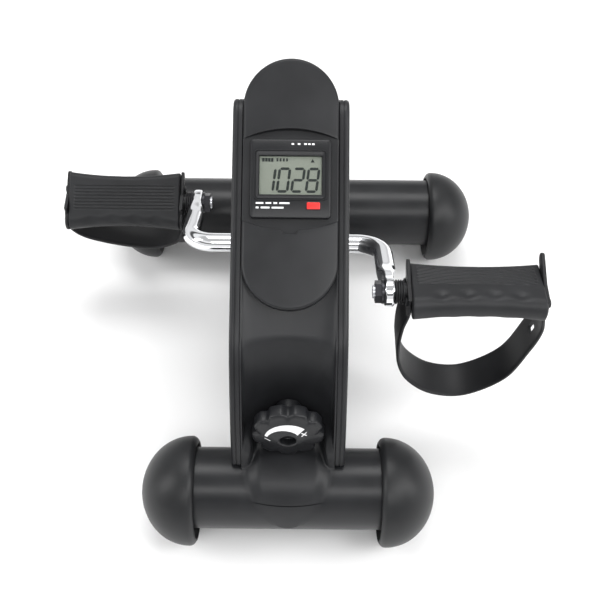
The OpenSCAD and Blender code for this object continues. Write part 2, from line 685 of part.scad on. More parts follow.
// ---- display module ----
glass_w = 44.5;
glass_len = 27.9;
glass_v = 2.5;           // the glass sits a little above the module's middle
button_x = 16.5;
button_v = -19.8;
case_depth = 11;
module plate(w, l, z0, z1, v = 0) {
  translate([-w / 2, v - l / 2, z0]) cube([w, l, z1 - z0]);
}
module display_bezel() {
  color("#232427") at_display() difference() {
    union() {
      plate(module_w, module_len, -case_depth, 0);
      plate(53.2, 37.3, -1, 0.6, glass_v);
    }
    plate(module_w - 4, module_len - 4, -case_depth - 1, -3.2);
    plate(glass_w + 0.2, glass_len + 0.2, -5, 2, glass_v);
    translate([button_x, button_v, 0]) plate(10.2, 5.7, -5, 2);
  }
}
module display_glass() { color("#9aa39a", 0.4) at_display() plate(glass_w, glass_len, -1.5, -0.3, glass_v); }
module display_cell() { color("#8f998c") at_display() plate(glass_w, glass_len, -3.2, -1.8, glass_v); }
// seven segment figures, 1028, leaning to the right
seg_h = 18.5;
seg_wd = 9.2;
seg_t = 1.9;
segments = [[1, 1, 1, 1, 1, 1, 0], [0, 1, 1, 0, 0, 0, 0], [1, 1, 0, 1, 1, 0, 1], [1, 1, 1, 1, 1, 1, 1]];
figures = [1, 0, 2, 3];
module bar(a, b) {
  d = unit(b - a);
  m = [-d[1], d[0]] * seg_t / 2;
  p = a + d * 0.25;
  q = b - d * 0.25;
  k = d * seg_t / 2;
  polygon([p, p + k + m, q - k + m, q, q - k - m, p + k - m]);
}
module figure(on) {
  w = seg_wd / 2 - seg_t / 2;
  h = seg_h / 2 - seg_t / 2;
  c = [[-w, h], [w, h], [w, 0], [w, -h], [-w, -h], [-w, 0]];
  ends = [[0, 1], [1, 2], [2, 3], [3, 4], [4, 5], [5, 0], [5, 2]];
  for (i = [0:6]) if (on[i] == 1) bar(c[ends[i][0]], c[ends[i][1]]);
}
module display_digits() {
  lean = 0.12;
  color("#17191a") at_display() translate([0, glass_v - 3.3, -1.75])
    linear_extrude(0.15) multmatrix([[1, lean, 0, 0], [0, 1, 0, 0]])
      for (i = [0:3]) translate([-15.4 + 10.4 * i, 0]) figure(segments[figures[i]]);
}
module display_board() { color("#1f5a35") at_display() plate(50, 50, -6.6, -5.1); }
module display_battery() {
  color("#c9ccd0") at_display() translate([-14, -14, -9.4]) cylinder(r = 5.8, h = 2.7);
}
module display_back() { color("#202124") at_display() plate(module_w - 4.4, module_len - 4.4, -case_depth, -9.6); }
module mode_button() {
  color("#c8202a") at_display() translate([button_x, button_v, 0]) union() {
    plate(9.8, 5.3, -3, 1.0);
    plate(11.5, 6.6, -4.1, -3.3);
    plate(6, 3, -3.4, -2.9);
  }
}

front_base_tube();
rear_base_tube();
front_left_foot_cap();
front_right_foot_cap();
rear_left_foot_cap();
rear_right_foot_cap();
foot_cap_screws();
main_frame();
saddle_bolts();
left_bearing_plate();
right_bearing_plate();
left_crank_bearing();
right_crank_bearing();
left_side_panel();
right_side_panel();
panel_screws();
console_cover();
front_cover();
nose_tip();
rear_cover();
bottom_cover();
tension_bracket();
brake_shoe();
brake_pad();
speed_sensor();
crank_bar();
friction_wheel();
wheel_magnet();
crank_spacers();
left_spindle();
right_spindle();
spindle_nuts();
left_pedal_block();
left_pedal_bush();
left_foot_strap();
right_pedal_block();
right_pedal_bush();
right_foot_strap();
tension_knob();
knob_marks();
tension_screw();
screw_retainer();
tension_nut();
tension_spring();
display_bezel();
display_glass();
display_cell();
display_digits();
display_board();
display_battery();
display_back();
mode_button();
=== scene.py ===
"""Looks of the pedal exerciser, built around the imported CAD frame.

Lengths are in millimetres up to mesh(), which turns them into metres. Lights and the camera are in metres.
"""
import math

import bmesh
import bpy
from mathutils import Matrix, Vector
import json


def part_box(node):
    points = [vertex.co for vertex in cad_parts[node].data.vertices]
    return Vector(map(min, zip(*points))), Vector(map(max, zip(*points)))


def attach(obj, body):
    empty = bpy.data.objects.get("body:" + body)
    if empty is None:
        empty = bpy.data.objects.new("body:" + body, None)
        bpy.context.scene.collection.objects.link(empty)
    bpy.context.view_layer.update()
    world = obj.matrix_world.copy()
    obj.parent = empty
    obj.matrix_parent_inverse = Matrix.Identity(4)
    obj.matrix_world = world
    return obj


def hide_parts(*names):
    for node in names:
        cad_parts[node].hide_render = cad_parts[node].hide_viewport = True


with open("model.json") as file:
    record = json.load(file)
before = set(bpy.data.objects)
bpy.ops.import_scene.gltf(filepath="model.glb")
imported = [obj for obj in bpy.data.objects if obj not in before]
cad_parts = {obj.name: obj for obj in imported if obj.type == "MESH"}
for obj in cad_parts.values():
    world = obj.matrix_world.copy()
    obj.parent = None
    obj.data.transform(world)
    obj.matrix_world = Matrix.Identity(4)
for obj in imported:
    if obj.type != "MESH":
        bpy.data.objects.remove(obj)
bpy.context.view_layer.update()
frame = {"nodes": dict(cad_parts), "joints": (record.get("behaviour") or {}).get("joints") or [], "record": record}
joints = {j["name"]: j for j in frame["joints"]}
MM = 0.001


def mm(v):
    """A position of the frame, in millimetres."""
    return Vector(v) / MM


def node_box(node):
    low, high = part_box(node)
    return mm(low), mm(high)


# ---------------------------------------- places taken from the frame
CONSOLE_LOW, CONSOLE_HIGH = node_box("console_cover")
HOUSING_X = (CONSOLE_LOW.x + CONSOLE_HIGH.x) / 2
LIFT_AXIS = Vector(joints["display_lift"]["axis"])
SLOPE = math.atan2(-LIFT_AXIS.y, LIFT_AXIS.z)
CRANK = mm(joints["crank_spin"]["pos_m"])
KNOB = mm(joints["knob_turn"]["pos_m"])
PEDAL = {side: mm(joints[side + "_pedal_spin"]["pos_m"]) for side in ("left", "right")}
TUBE_LOW, TUBE_HIGH = node_box("front_base_tube")
TUBE_R = (TUBE_HIGH.z - TUBE_LOW.z) / 2
TUBE_Z = (TUBE_HIGH.z + TUBE_LOW.z) / 2
TUBE_Y = -(TUBE_HIGH.y + TUBE_LOW.y) / 2
PANEL_LOW, PANEL_HIGH = node_box("right_side_panel")
INNER_W = PANEL_LOW.x - HOUSING_X
HALF_W = PANEL_HIGH.x - HOUSING_X
TONGUE_R = (CONSOLE_HIGH.x - CONSOLE_LOW.x) / 2
TONGUE_LEN = 184
TONGUE_START = Vector((HOUSING_X, -89, 190))    # the lower end of its upper face
UP = Vector((0, math.cos(SLOPE), math.sin(SLOPE)))          # up the console's slope
OUT = Vector((0, -math.sin(SLOPE), math.cos(SLOPE)))        # out of it


def on_slope(u, v, w):
    """u across, v up the console's slope, w out of it."""
    return TONGUE_START + Vector((u, 0, 0)) + UP * v + OUT * w


# ---------------------------------------- materials
def new_material(name, color, rough, metallic=0.0, specular=0.5):
    m = bpy.data.materials.new(name)
    m.use_nodes = True
    b = m.node_tree.nodes["Principled BSDF"]
    b.inputs["Base Color"].default_value = (*color, 1)
    b.inputs["Roughness"].default_value = rough
    b.inputs["Metallic"].default_value = metallic
    b.inputs["Specular IOR Level"].default_value = specular
    return m, m.node_tree, b


def add(tree, kind, **values):
    n = tree.nodes.new(kind)
    for key, value in values.items():
        if hasattr(n, key):
            setattr(n, key, value)
        else:
            n.inputs[key.replace("_", " ")].default_value = value
    return n


def ramp(tree, source, low, high, a=0.35, b=0.65):
    """Spreads a 0 to 1 value between two colours."""
    r = add(tree, "ShaderNodeValToRGB")
    r.color_ramp.elements[0].position = a
    r.color_ramp.elements[0].color = (*low, 1)
    r.color_ramp.elements[1].position = b
    r.color_ramp.elements[1].color = (*high, 1)
    tree.links.new(source, r.inputs["Fac"])
    return r.outputs["Color"]


def noise(tree, scale, detail, roughness=0.5):
    """Noise in the object's own space, from 0 to 1."""
    n = add(tree, "ShaderNodeTexNoise", Scale=scale, Detail=detail, Roughness=roughness)
    tree.links.new(add(tree, "ShaderNodeTexCoord").outputs["Object"], n.inputs["Vector"])
    return n.outputs["Fac"]


def vary_roughness(tree, shader, source, low, high):
    spread = add(tree, "ShaderNodeMapRange", To_Min=low, To_Max=high)
    tree.links.new(source, spread.inputs["Value"])
    tree.links.new(spread.outputs["Result"], shader.inputs["Roughness"])


def add_bump(tree, shader, source, strength, depth_mm):
    bump = add(tree, "ShaderNodeBump", Strength=strength, Distance=depth_mm * MM)
    tree.links.new(source, bump.inputs["Height"])
    tree.links.new(bump.outputs["Normal"], shader.inputs["Normal"])


def shade(color, factor):
    return tuple(min(c * factor, 1) for c in color)


def moulded(name, color, rough, grain_mm=0.35, depth_mm=0.02, specular=0.5):
    """Moulded plastic: fine spark-eroded grain, with slow changes of tone and of gloss."""
    haze = 0.06
    m, tree, b = new_material(name, color, rough, specular=specular)
    slow = noise(tree, 38.0, 2.0)
    tree.links.new(ramp(tree, slow, shade(color, 0.86), shade(color, 1.14)), b.inputs["Base Color"])
    vary_roughness(tree, b, slow, rough - haze, rough + haze)
    add_bump(tree, b, noise(tree, 1 / (grain_mm * MM), 3.0, 0.55), 0.5, depth_mm)
    return m


def metal(name, color, rough, scratch_mm=0.004):
    """Metal with faint polishing marks."""
    m, tree, b = new_material(name, color, rough, metallic=1.0)
    marks = noise(tree, 900.0, 4.0, 0.6)
    vary_roughness(tree, b, marks, max(rough - 0.03, 0.02), rough + 0.05)
    add_bump(tree, b, marks, 0.3, scratch_mm)
    return m


def felt(name, color):
    m, tree, b = new_material(name, color, 0.95, specular=0.2)
    fibres = noise(tree, 2200.0, 5.0, 0.7)
    tree.links.new(ramp(tree, fibres, shade(color, 0.7), color), b.inputs["Base Color"])
    add_bump(tree, b, fibres, 0.8, 0.2)
    return m


def clear_glass(name):
    m, tree, b = new_material(name, (0.02, 0.03, 0.025), 0.05, specular=0.3)
    b.inputs["Alpha"].default_value = 0.1
    b.inputs["IOR"].default_value = 1.45
    vary_roughness(tree, b, noise(tree, 220.0, 3.0), 0.03, 0.12)
    return m


def crystal(name, color):
    """The reflector behind liquid crystal: pale, with a fine even sparkle."""
    m, tree, b = new_material(name, color, 0.5, specular=0.4)
    sparkle = noise(tree, 5000.0, 2.0)
    tree.links.new(ramp(tree, sparkle, shade(color, 0.9), shade(color, 1.1)), b.inputs["Base Color"])
    return m


MATERIALS = {
    "black_steel": moulded("powder_coat", (0.012, 0.0125, 0.014), 0.34, 0.5, 0.03, specular=0.3),
    "black_plastic": moulded("housing_plastic", (0.013, 0.0135, 0.015), 0.42, 0.35, 0.02, specular=0.3),
    "bezel_plastic": moulded("bezel_plastic", (0.010, 0.0105, 0.012), 0.36, 0.25, 0.008, specular=0.3),
    "foot_plastic": moulded("foot_plastic", (0.012, 0.0125, 0.0135), 0.42, 0.5, 0.03, specular=0.3),
    "pedal_rubber": moulded("pedal_plastic", (0.013, 0.0135, 0.015), 0.48, 0.4, 0.03, specular=0.3),
    "strap_rubber": moulded("strap_rubber", (0.011, 0.0112, 0.0125), 0.5, 0.3, 0.03, specular=0.3),
    "chrome": metal("chrome_plate", (0.86, 0.87, 0.89), 0.06),
    "zinc_steel": metal("zinc_plate", (0.62, 0.63, 0.66), 0.32),
    "dark_steel": metal("black_oxide", (0.05, 0.05, 0.055), 0.35),
    "frame_steel": moulded("frame_paint", (0.03, 0.032, 0.035), 0.4, 0.6, 0.03),
    "cast_wheel": metal("cast_wheel", (0.16, 0.16, 0.17), 0.45, 0.03),
    "nylon": moulded("nylon", (0.62, 0.60, 0.54), 0.45, 0.4, 0.02),
    "felt": felt("felt", (0.32, 0.30, 0.26)),
    "brass": metal("brass", (0.70, 0.53, 0.26), 0.28),
    "white_print": moulded("white_ink", (0.86, 0.86, 0.87), 0.5, 0.2, 0.004),
    "glass": clear_glass("window"),
    "lcd_back": crystal("crystal_back", (0.25, 0.275, 0.23)),
    "lcd_ink": crystal("crystal_ink", (0.012, 0.016, 0.015)),
    "board_green": moulded("solder_mask", (0.02, 0.12, 0.05), 0.3, 0.5, 0.01),
    "red_button": moulded("red_key", (0.72, 0.015, 0.012), 0.4, 0.2, 0.01),
}
for part in frame["record"]["subparts"]:
    obj = frame["nodes"][part["node"]]
    for s in obj.material_slots:
        s.material = MATERIALS[part["material_slot"]]


# ---------------------------------------- mesh helpers
MERGE = 0.002        # points closer than this are one
SLIVER = 0.0005      # shorter edges are dissolved


def mesh(name, verts, faces, slot, body, replaces=(), sharp=32):
    """A piece from points in millimetres; edges steeper than sharp degrees stay crisp."""
    data = bpy.data.meshes.new(name)
    data.from_pydata([Vector(v) * MM for v in verts], [], faces)
    b = bmesh.new()
    b.from_mesh(data)
    bmesh.ops.remove_doubles(b, verts=b.verts, dist=MERGE * MM)
    bmesh.ops.dissolve_degenerate(b, edges=b.edges, dist=SLIVER * MM)
    bmesh.ops.recalc_face_normals(b, faces=b.faces)
    b.to_mesh(data)
    b.free()
    data.shade_smooth()
    data.set_sharp_from_angle(angle=math.radians(sharp))
    obj = bpy.data.objects.new(name, data)
    bpy.context.scene.collection.objects.link(obj)
    data.materials.append(MATERIALS[slot])
    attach(obj, body)
    if replaces:
        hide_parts(*replaces)
    return obj


def grid_faces(rows, cols, wrap=False, wrap_rows=False):
    last = cols if wrap else cols - 1
    down = rows if wrap_rows else rows - 1
    return [
        (
            r * cols + c,
            r * cols + (c + 1) % cols,
            (r + 1) % rows * cols + (c + 1) % cols,
            (r + 1) % rows * cols + c,
        )
        for r in range(down)
        for c in range(last)
    ]


def grid(rows, wrap=False, wrap_rows=False, caps=False):
    """Vertices and faces of a sheet of points; caps closes the first and last row."""
    cols = len(rows[0])
    verts = [p for row in rows for p in row]
    faces = grid_faces(len(rows), cols, wrap, wrap_rows)
    if caps:
        faces.append(tuple(range(cols)))
        faces.append(tuple((len(rows) - 1) * cols + c for c in range(cols)))
    return verts, faces


def joined(*parts):
    verts, faces = [], []
    for v, f in parts:
        faces += [tuple(i + len(verts) for i in face) for face in f]
        verts += list(v)
    return verts, faces


def lathe(origin, axis, profile, turns=96, ripple=None):
    """Rings around an axis: profile is a list of (distance along the axis, radius).

    ripple(angle, radius) gives the radius at an angle where a ring isn't round.
    """
    a = Vector(axis).normalized()
    u = a.cross(Vector((0, 0, 1)) if abs(a.z) < 0.9 else Vector((1, 0, 0))).normalized()
    w = a.cross(u)
    rows = []
    for d, r in profile:
        ring = []
        for k in range(turns):
            t = 2 * math.pi * k / turns
            rr = ripple(t, r) if ripple else r
            ring.append(Vector(origin) + a * d + (u * math.cos(t) + w * math.sin(t)) * rr)
        rows.append(ring)
    return rows


def arc2(cx, cy, r, a0, a1, n):
    """Points of an arc, with angles in degrees."""
    return [
        (cx + r * math.cos(math.radians(a0 + (a1 - a0) * i / n)),
         cy + r * math.sin(math.radians(a0 + (a1 - a0) * i / n)))
        for i in range(n + 1)
    ]


def bez2(a, b, c, n=12):
    """Points of a curve from a to c that heads for b at both ends."""
    a, b, c = Vector(a), Vector(b), Vector(c)
    return [(1 - t) ** 2 * a + 2 * t * (1 - t) * b + t * t * c for t in (i / n for i in range(n + 1))]


def catmull(points, n=8):
    """A smooth curve through all the points, with n steps between two."""
    pts = [Vector(p) for p in points]
    out = []
    for i in range(len(pts) - 1):
        a, b, c, d = pts[max(i - 1, 0)], pts[i], pts[i + 1], pts[min(i + 2, len(pts) - 1)]
        for k in range(n):
            t = k / n
            out.append(0.5 * (2 * b + (c - a) * t + (2 * a - 5 * b + 4 * c - d) * t * t
                              + (3 * b - a - 3 * c + d) * t ** 3))
    return out + [pts[-1]]


def smooth(t):
    """0 below 0, 1 above 1, and an eased step between."""
    t = min(max(t, 0.0), 1.0)
    return t * t * (3 - 2 * t)


def at(curve, t):
    """A point a fraction t of the way along a list of points."""
    f = min(max(t, 0.0), 1.0) * (len(curve) - 1)
    i = min(int(f), len(curve) - 2)
    return Vector(curve[i]).lerp(Vector(curve[i + 1]), f - i)


# ---------------------------------------- base
def foot_cap(node, side):
    """A dome with a rounded rim and a recessed mouth, and a flat where it stands on the floor."""
    low, high = node_box(node)
    radius = (high.y - low.y) / 2
    centre_z = high.z - radius
    rim = 5.0
    mouth = low.x if side > 0 else high.x
    lip = radius - 4.5           # radius of the mouth's recess round the tube
    profile = [(5, TUBE_R - 1.5), (5, TUBE_R + 2), (5, lip - 0.6), (4.4, lip), (1.2, lip),
               (0.4, lip + 0.25), (0, lip + 0.9)]
    profile += [(rim - rim * math.sin(math.radians(a)), radius - rim + rim * math.cos(math.radians(a)))
                for a in range(88, -1, -8)]
    dome = high.x - low.x - rim
    profile += [(rim + dome * math.sin(math.radians(a)), radius * math.cos(math.radians(a)))
                for a in list(range(4, 88, 4)) + [88, 89.7]]
    origin = (mouth, (low.y + high.y) / 2, centre_z)
    rows = lathe(origin, (side, 0, 0), profile, 128)
    for row in rows:
        for p in row:
            p.z = max(p.z, 0.0)
    mesh(node + "_dome", *grid(rows, wrap=True, caps=True), "foot_plastic", "frame", [node], sharp=50)


for where in ("front", "rear"):
    foot_cap(where + "_left_foot_cap", -1)
    foot_cap(where + "_right_foot_cap", 1)


# ---------------------------------------- housing outline, in Y and Z
PANEL_DROP = 6           # from the tongue's upper face down to the panels' top edge
PANEL_BOTTOM = 31
FRONT_CORNER_Y, REAR_CORNER_Y = -100, 46
EDGE_STEPS = 40


def slope_point(y):
    """A point of the panels' top edge."""
    z = TONGUE_START.z + (y - TONGUE_START.y) * math.tan(SLOPE) - PANEL_DROP / math.cos(SLOPE)
    return Vector((y, z))


FRONT_CORNER = slope_point(FRONT_CORNER_Y)
REAR_CORNER = slope_point(REAR_CORNER_Y)
FRONT_EDGE = bez2((-TUBE_Y - 1, TUBE_Z + TUBE_R + 0.1), (-130.5, 151.2), FRONT_CORNER, EDGE_STEPS)
BACK_EDGE = bez2(REAR_CORNER, (112, 200), (TUBE_Y, TUBE_Z + TUBE_R + 0.5), EDGE_STEPS)


def rounded(a, p, b, d, n=8):
    """The corner p between a and b, rounded from d before it to d after it."""
    a, p, b = Vector(a), Vector(p), Vector(b)
    return bez2(p + (a - p).normalized() * d, p, p + (b - p).normalized() * d, n)


def panel_outline():
    """Anticlockwise as seen from +X."""
    saddle = TUBE_R + 0.3
    first = math.degrees(math.asin((TUBE_Z - PANEL_BOTTOM) / saddle))
    rear = arc2(TUBE_Y, TUBE_Z, saddle, 180 + first, 92, 14)
    front = arc2(-TUBE_Y, TUBE_Z, saddle, 88, -first, 14)
    points = [(y, PANEL_BOTTOM) for y in (-110, -60, 0, 60, 110)] + rear
    points += BACK_EDGE[8:-1][::-1]
    points += rounded(BACK_EDGE[8], REAR_CORNER, FRONT_CORNER, 14)
    points += [REAR_CORNER.lerp(FRONT_CORNER, i / 16) for i in range(2, 15)]
    points += rounded(REAR_CORNER, FRONT_CORNER, FRONT_EDGE[-5], 8)
    points += FRONT_EDGE[1:-5][::-1]
    points += front
    return [Vector(p) for p in points]


def inset(points, d):
    """A closed outline moved inwards by d."""
    n = len(points)
    out = []
    for i, p in enumerate(points):
        e = (points[(i + 1) % n] - points[i - 1]).normalized()
        out.append(p + Vector((-e.y, e.x)) * d)
    return out


def side_panel(side, node):
    """A tray with a rounded outer edge and a shadow line along its rim."""
    outline = panel_outline()
    edge = 2.6
    # (inset from the outline, distance across from the housing's middle)
    section = [(2.6, INNER_W + 0.1), (0.5, INNER_W + 0.1), (0.1, INNER_W + 0.4), (0, INNER_W + 0.8),
               (0, INNER_W + 3.0), (0.55, INNER_W + 3.25), (0.55, INNER_W + 3.75), (0, INNER_W + 4.0)]
    section += [(edge - edge * math.cos(math.radians(a)), HALF_W - edge + edge * math.sin(math.radians(a)))
                for a in range(0, 91, 15)]
    rows = [[Vector((HOUSING_X + side * x, p.x, p.y)) for p in inset(outline, d)] for d, x in section]
    mesh(node + "_shell", *grid(rows, wrap=True, caps=True), "black_plastic", "frame", [node], sharp=30)


# raised ring round the crank: (height above the panel, radius)
CRANK_RING = [(-0.5, 19), (0.3, 19), (0.9, 18.5), (1.1, 17.8), (1.1, 13.2), (0.8, 12.4), (-0.2, 11.8),
              (-0.2, 8.2)]
for side, node in ((-1, "left_side_panel"), (1, "right_side_panel")):
    side_panel(side, node)
    hub = Vector((HOUSING_X + side * HALF_W, CRANK.y, CRANK.z))
    rows = lathe(hub, (side, 0, 0), CRANK_RING)
    mesh(node + "_crank_ring", *grid(rows, wrap=True), "black_plastic", "frame")


# ---------------------------------------- console cover
CROWN_R = 160                           # the tongue is slightly crowned across
MODULE_V = 94.4                         # middle of the display module up the tongue
MODULE_W, MODULE_L = 58, 57.5
POCKET_W = -(CROWN_R - math.sqrt(CROWN_R ** 2 - TONGUE_R ** 2)) - 0.5


def console_cover():
    """The crowned tongue with its eased edge, and the recess with bowed ends for the display."""
    length = TONGUE_LEN - 0.2
    radius = TONGUE_R
    edge = 2.2
    wall = 7.5
    half = MODULE_L / 2 + 0.6           # half length of the recess beside the module
    bow_low, bow_high = 8, 7.5          # how far its two ends bow out in the middle
    notch_half, notch_deep = 5.3, 2.6   # finger notch for lifting the module out
    columns, end_steps, floor_steps = 72, 30, 20

    def height(u, v):
        crown = math.sqrt(CROWN_R ** 2 - u * u) - CROWN_R
        if v < radius:
            e = radius - math.hypot(u, v - radius)
        elif v > length - radius:
            e = radius - math.hypot(u, v - length + radius)
        else:
            e = radius - abs(u)
        e = min(max(e, 0), edge)
        return crown - (edge - math.sqrt(max(edge ** 2 - (edge - e) ** 2, 0)))

    rows = []
    for c in range(columns + 1):
        u = -radius * math.cos(math.pi * c / columns)
        reach = math.sqrt(max(radius ** 2 - u * u, 0))
        low, high = radius - reach, length - radius + reach
        bow = 1 - u * u / 36 ** 2
        a = MODULE_V - half - bow_low * bow - (notch_deep if abs(u) < notch_half else 0.0)
        b = MODULE_V + half + bow_high * bow
        column = []
        for i in range(end_steps + 1):
            v = low + (a - 0.6 - low) * (1 - math.cos(math.pi / 2 * i / end_steps))
            column.append((v, height(u, v)))
        top = height(u, a)
        column += [(a - 0.25, top - 0.06), (a, top - 0.35), (a + 0.15, min(top - 0.4, POCKET_W + 0.4)),
                   (a + 0.45, POCKET_W)]
        for i in range(1, floor_steps):
            v = a + 0.45 + (b - a - 0.9) * i / floor_steps
            column.append((v, min(POCKET_W, height(u, v))))
        top = height(u, b)
        column += [(b - 0.45, POCKET_W), (b - 0.15, min(top - 0.4, POCKET_W + 0.4)), (b, top - 0.35),
                   (b + 0.25, top - 0.06)]
        for i in range(end_steps + 1):
            v = b + 0.6 + (high - b - 0.6) * math.sin(math.pi / 2 * i / end_steps)
            column.append((v, height(u, v)))
        rows.append([on_slope(u, v, w) for v, w in column])
    top_verts, top_faces = grid(rows)
    # side wall, from the outline of the sheet down
    outline = [row[0] for row in rows] + rows[-1][1:] + [row[-1] for row in reversed(rows[:-1])]
    outline += list(reversed(rows[0][1:-1]))
    foot = [p - OUT * wall for p in outline]
    middle = on_slope(0, TONGUE_LEN / 2, 0)
    inner = []
    for p in foot:
        out = p - middle
        out -= OUT * out.dot(OUT)
        inner.append(p - out.normalized() * 2.0)
    verts, faces = joined((top_verts, top_faces), grid([outline, foot, inner], wrap=True))
    mesh("console_cover_skin", verts, faces, "black_plastic", "frame", ["console_cover"], sharp=28)


console_cover()


# ---------------------------------------- front cover: scoop, knob pocket and chin
COVER_HALF = INNER_W - 0.15      # half width between the side panels
COVER_COLS = 64
SCOOP_TOP, SCOOP_LOW = FRONT_CORNER.y + 7, 88
SCOOP_ROWS, POCKET_ROWS, CHIN_ROWS, TIP_ROWS = 46, 12, 30, 16
CHIN_RIDGE = bez2((-143, 84.4), (-178, 83), (-TUBE_Y - TUBE_R - 1.9, 44), 40)
SEAM_AT, SEAM_GAP = 0.66, 0.012  # the seam's place down the ridge, and its width


def cover_column(c):
    """Place across the cover, from -1 to 1; the columns are closer near its two sides."""
    s = -1 + 2 * c / COVER_COLS
    return math.sin(math.pi / 2 * s) * 0.5 + s * 0.5


COLUMNS = [cover_column(c) for c in range(COVER_COLS + 1)]


def panel_edge(z):
    """The panels' front edge at height z."""
    if z >= FRONT_CORNER.y:
        return FRONT_CORNER.x + (z - FRONT_CORNER.y) / math.tan(SLOPE)
    for a, b in zip(FRONT_EDGE, FRONT_EDGE[1:]):
        if a.y <= z <= b.y:
            return a.x + (b.x - a.x) * (z - a.y) / (b.y - a.y)
    return FRONT_EDGE[0].x


def scoop_depth(s, z):
    """Share of the scoop's full depth at s across; near the tube it fades beside the knob."""
    u = abs(s) / 0.965
    if u >= 1:
        return 0.0
    k = math.sqrt(1 - u * u) * 0.9 + 0.1 * smooth((1 - u) / 0.3)
    return k * (1 - smooth((KNOB.z - z) / 22) * smooth((abs(s) - 0.64) / 0.2))


def chin_row(t):
    """Row of the chin a fraction t down its ridge; the seam and the rows near it curve like a smile."""
    tip_half, tip_z, flare = 7, 41.5, 37.5      # the front view is a V with a flat tip
    shoulder = TUBE_R + 1.0
    row = []
    for s in COLUMNS:
        u = abs(s)
        p = at(CHIN_RIDGE, t - 0.05 * u * u * smooth(t * 3))
        angle = math.atan2(-(p.x + TUBE_Y), p.y - TUBE_Z)
        z_here = TUBE_Z + shoulder * math.cos(angle)
        width = tip_half + (COVER_HALF - tip_half) * min(1, max((z_here - tip_z) / flare, 0))
        radius = math.hypot(p.x + TUBE_Y, p.y - TUBE_Z)
        base_angle = max(angle, math.radians(4))
        base = Vector((-TUBE_Y - shoulder * math.sin(base_angle), TUBE_Z + shoulder * math.cos(base_angle)))
        crown = (radius - shoulder) * 0.12 * u * u
        top = p - Vector((-math.sin(angle), math.cos(angle))) * crown
        q = top.lerp(base, smooth((u - 0.60) / 0.34))
        row.append(Vector((HOUSING_X + s * width, q.x, q.y)))
    return row


def front_cover():
    """Collar, scoop, pocket and chin as one sheet; the piece under the seam is a sheet of its own."""
    rows = []
    # collar beside the console's round end
    for i in range(9):
        v = 44 - 40 * i / 8
        dip = 5 * i / 8
        rows.append([on_slope(s * COVER_HALF, v, -6.3 - dip * math.sqrt(max(1 - (s / 0.97) ** 2, 0)))
                     for s in COLUMNS])
    # the scoop, from under the console down to the pocket
    deep = bez2((-91, SCOOP_TOP), (-114, 142), (-118.5, SCOOP_LOW), 30)
    for i in range(1, SCOOP_ROWS + 1):
        t = i / SCOOP_ROWS
        z = SCOOP_TOP + (SCOOP_LOW - SCOOP_TOP) * t
        y_edge = panel_edge(z) + 0.5
        y_deep = at(deep, t).x
        rows.append([Vector((HOUSING_X + s * COVER_HALF, y_edge + (y_deep - y_edge) * scoop_depth(s, z), z))
                     for s in COLUMNS])
    # the collar rolls over into the scoop with no crease
    first, corner, last = 3, 8, 15
    for c in range(COVER_COLS + 1):
        bend = bez2(rows[first][c], rows[corner][c], rows[last][c], last - first)
        for i in range(1, last - first):
            rows[first + i][c] = bend[i]
    # floor of the pocket, which ends on the chin's ridge
    above, below = rows[-1], chin_row(0)
    for i in range(1, POCKET_ROWS + 1):
        t = i / POCKET_ROWS
        bend = 1 - (1 - t) ** 2
        rows.append([Vector((a.x, a.y + (b.y - a.y) * t, a.z + (b.z - a.z) * bend))
                     for a, b in zip(above, below)])
    # the chin: a ridge with a nearly flat front, and shoulders that lie on the tube
    rows += [chin_row(SEAM_AT * i / CHIN_ROWS) for i in range(1, CHIN_ROWS + 1)]
    mesh("front_cover_skin", *grid(rows), "black_plastic", "frame", ["front_cover"], sharp=40)
    tip_from = SEAM_AT + SEAM_GAP
    tip = [chin_row(tip_from + (1 - tip_from) * i / TIP_ROWS) for i in range(TIP_ROWS + 1)]
    mesh("nose_tip_skin", *grid(tip), "black_plastic", "frame", ["nose_tip"], sharp=40)


front_cover()


# ---------------------------------------- rear cover
def rear_cover():
    """A curved sheet between the panels, a little inside their rear edge and eased at both sides."""
    cols = 24
    rows = []
    for i, p in enumerate(BACK_EDGE):
        along = (BACK_EDGE[min(i + 1, EDGE_STEPS)] - BACK_EDGE[max(i - 1, 0)]).normalized()
        out = Vector((-along.y, along.x))
        if out.x <= 0:
            out.negate()
        row = []
        for c in range(cols + 1):
            s = math.sin(math.pi / 2 * (-1 + 2 * c / cols))
            q = p + out * (-0.6 - 1.6 * abs(s) ** 6)
            row.append(Vector((HOUSING_X + s * COVER_HALF, q.x, q.y)))
        rows.append(row)
    mesh("rear_cover_skin", *grid(rows), "black_plastic", "frame", ["rear_cover"], sharp=40)


rear_cover()


# ---------------------------------------- tension knob
def tension_knob():
    """A knob with nine lobes, a cone for its face and a hole in the middle."""
    lobes = 9
    half_lobe = 180 / lobes
    valley = 3.0

    def lobed(t, r):
        """Lobes alternate with narrow valleys, which fade towards the middle of the face."""
        a = (math.degrees(t) + 90) % (360 / lobes) - half_lobe
        dip = 1 - smooth(abs(abs(a) - half_lobe) / (half_lobe * 0.62))
        return r - valley * dip * smooth((r - 20.5) / 5)

    # (distance behind the face, radius)
    hole = [(6.0, 0.2), (6.0, 5.6), (5.5, 6.0), (0.5, 6.0)]
    front = [(0.0, 6.2), (-0.3, 6.8), (-0.1, 8.2), (0.2, 9.5), (3.0, 19.5), (3.9, 22.6), (4.0, 23.4),
             (4.3, 24.6), (4.9, 25.8), (5.6, 26.3), (6.4, 26.5)]
    back = [(13.6, 26.5), (14.5, 26.1), (15.0, 25.2), (15.0, 20), (15.0, 10.2), (15.6, 9.6), (30.0, 9.5),
            (30.0, 3)]
    origin = Vector((KNOB.x, node_box("tension_knob")[0].y, KNOB.z))
    rows = lathe(origin, (0, 1, 0), hole + front + back, 270, lobed)
    mesh("tension_knob_body", *grid(rows, wrap=True), "bezel_plastic", "knob", ["tension_knob"], sharp=38)


tension_knob()


